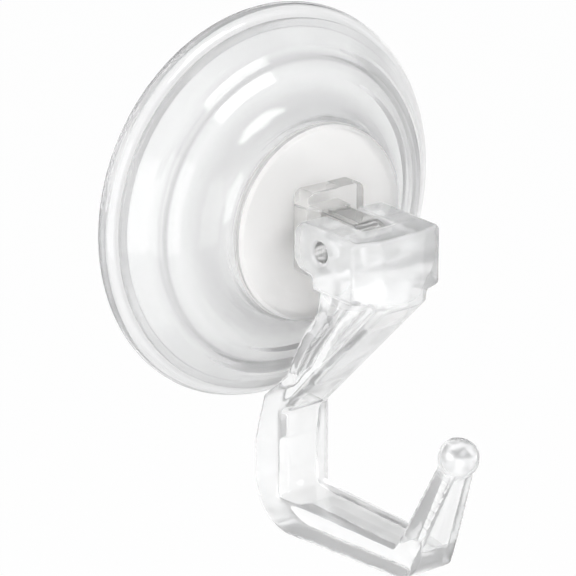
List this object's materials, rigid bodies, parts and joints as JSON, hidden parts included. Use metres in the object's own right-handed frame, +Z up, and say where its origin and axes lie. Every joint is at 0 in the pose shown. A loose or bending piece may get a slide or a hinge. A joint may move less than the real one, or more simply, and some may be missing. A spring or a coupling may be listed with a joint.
{
  "type": "suction cup hook",
  "caption": "Clear lever-lock suction hook: a soft cup under a stepped rigid shell, with a hook lever that turns on a cross pin and locks downwards.",
  "frame": {"origin": "centre of the cup on the wall plane", "axes": "wall plane y = 0, the hook stands out along -Y, +Z up, +X to the right as seen from the room"},
  "size_m": [0.066, 0.0524, 0.0866],
  "materials": {
    "soft_clear": "soft clear vinyl, glossy",
    "shell_clear": "clear rigid plastic, glossy",
    "stem_clear": "clear rigid plastic",
    "pin_clear": "clear rigid plastic",
    "lever_clear": "clear rigid plastic, glossy"
  },
  "bodies": {
    "base": {"suction_cup": "soft_clear", "pressure_shell": "shell_clear", "stem": "stem_clear", "cross_pin": "pin_clear"},
    "lever": {"hook_lever": "lever_clear"}
  },
  "joints": [
    {"name": "lever_hinge", "type": "hinge", "parent": "base", "child": "lever", "pos_m": [0, -0.0254, 0], "axis": [-1, 0, 0], "range_deg": [0, 90]}
  ]
}
